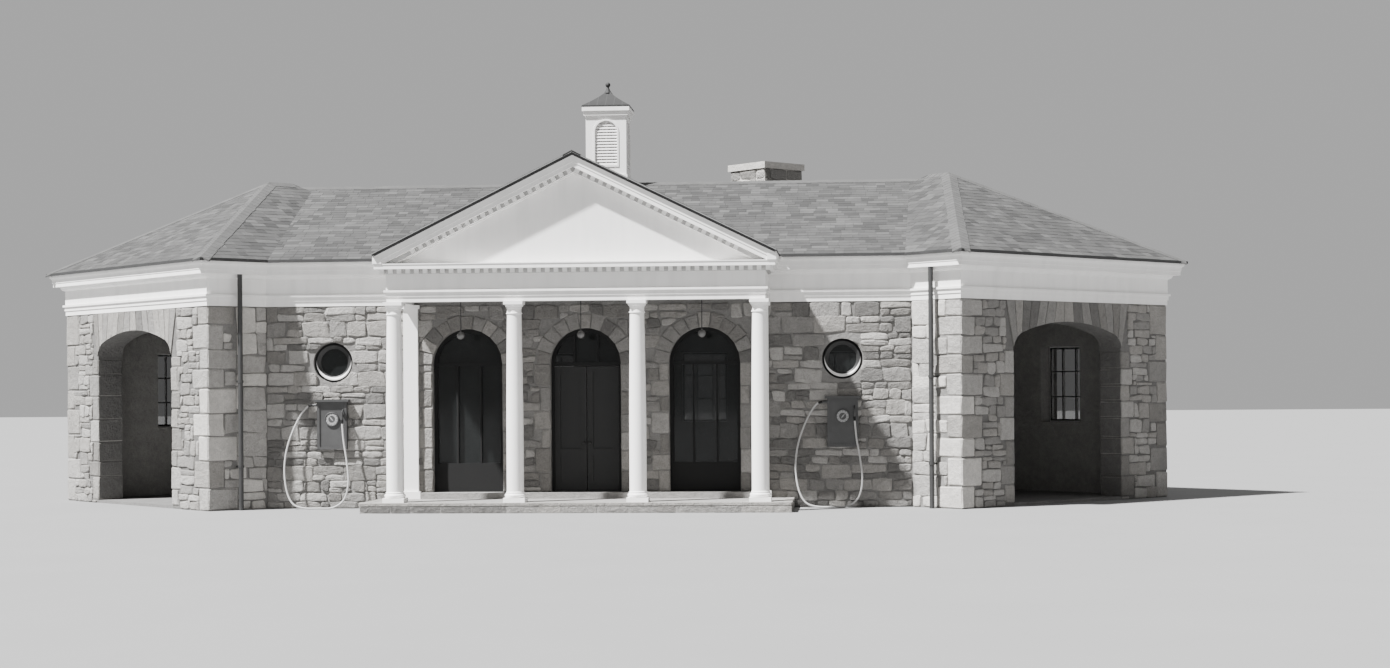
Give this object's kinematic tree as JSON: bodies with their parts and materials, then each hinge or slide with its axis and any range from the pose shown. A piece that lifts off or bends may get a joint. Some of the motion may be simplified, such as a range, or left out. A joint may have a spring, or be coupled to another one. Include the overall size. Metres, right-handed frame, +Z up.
{
  "type": "filling station",
  "caption": "Stone filling station house: hipped roofs, cupola, chimney, angled wings with vehicle arches and a pedimented column portico as its canopy.",
  "frame": {"origin": "on the ground under the middle of the main front wall", "axes": "+X to the right along the front as seen from the front, +Y into the building, +Z up"},
  "size_m": [20.5612, 8.955, 7.53],
  "materials": {
    "rubble_stone": "coursed rubble, matte",
    "platform_stone": "cut stone, matte",
    "floor_concrete": "plain concrete",
    "shingles": "weathered shingles",
    "white_trim": "painted white",
    "white_columns": "painted white, satin",
    "louvre_paint": "painted white, weathered",
    "cupola_metal": "dark sheet metal",
    "gutter_metal": "dark, satin",
    "door_paint": "painted dark",
    "window_paint": "painted dark",
    "window_glass": "clear",
    "cabinet_metal": "painted, satin",
    "hose_rubber": "light grey, matte",
    "lamp_glass": "opal"
  },
  "bodies": {
    "house": {"portico_platform": "platform_stone", "floor_slab": "floor_concrete", "front_wall_left": "rubble_stone", "front_wall_right": "rubble_stone", "front_wall_over_door": "rubble_stone", "return_walls": "rubble_stone", "left_wing_front_wall": "rubble_stone", "right_wing_front_wall": "rubble_stone", "left_wing_side_wall": "rubble_stone", "right_wing_side_wall": "rubble_stone", "rear_wall": "rubble_stone", "main_roof": "shingles", "left_wing_roof": "shingles", "right_wing_roof": "shingles", "portico_roof": "shingles", "main_entablature": "white_trim", "left_wing_entablature": "white_trim", "right_wing_entablature": "white_trim", "portico_entablature": "white_trim", "dentils": "white_trim", "tympanum": "white_trim", "raking_cornice": "white_trim", "portico_ceiling": "white_trim", "column_1": "white_columns", "column_2": "white_columns", "column_3": "white_columns", "column_4": "white_columns", "pilasters": "white_columns", "cupola": "white_trim", "cupola_louvres": "louvre_paint", "cupola_roof": "cupola_metal", "chimney": "rubble_stone", "gutters_and_downspouts": "gutter_metal", "oculus_frames": "white_trim", "arch_windows": "window_paint", "door_frame": "window_paint", "sash_windows": "white_trim", "front_glass": "window_glass", "back_glass": "window_glass", "pump_cabinets": "cabinet_metal", "left_hose": "hose_rubber", "right_hose": "hose_rubber", "porch_lamps": "lamp_glass"},
    "left_leaf": {"left_door": "door_paint"},
    "right_leaf": {"right_door": "door_paint"}
  },
  "joints": [
    {"name": "left_door_hinge", "type": "hinge", "parent": "house", "child": "left_leaf", "pos_m": [-0.5395, 0.219, 0.268], "axis": [0, 0, 1], "range_deg": [0, 90]},
    {"name": "right_door_hinge", "type": "hinge", "parent": "house", "child": "right_leaf", "pos_m": [0.5395, 0.219, 0.268], "axis": [0, 0, -1], "range_deg": [0, 90]}
  ]
}
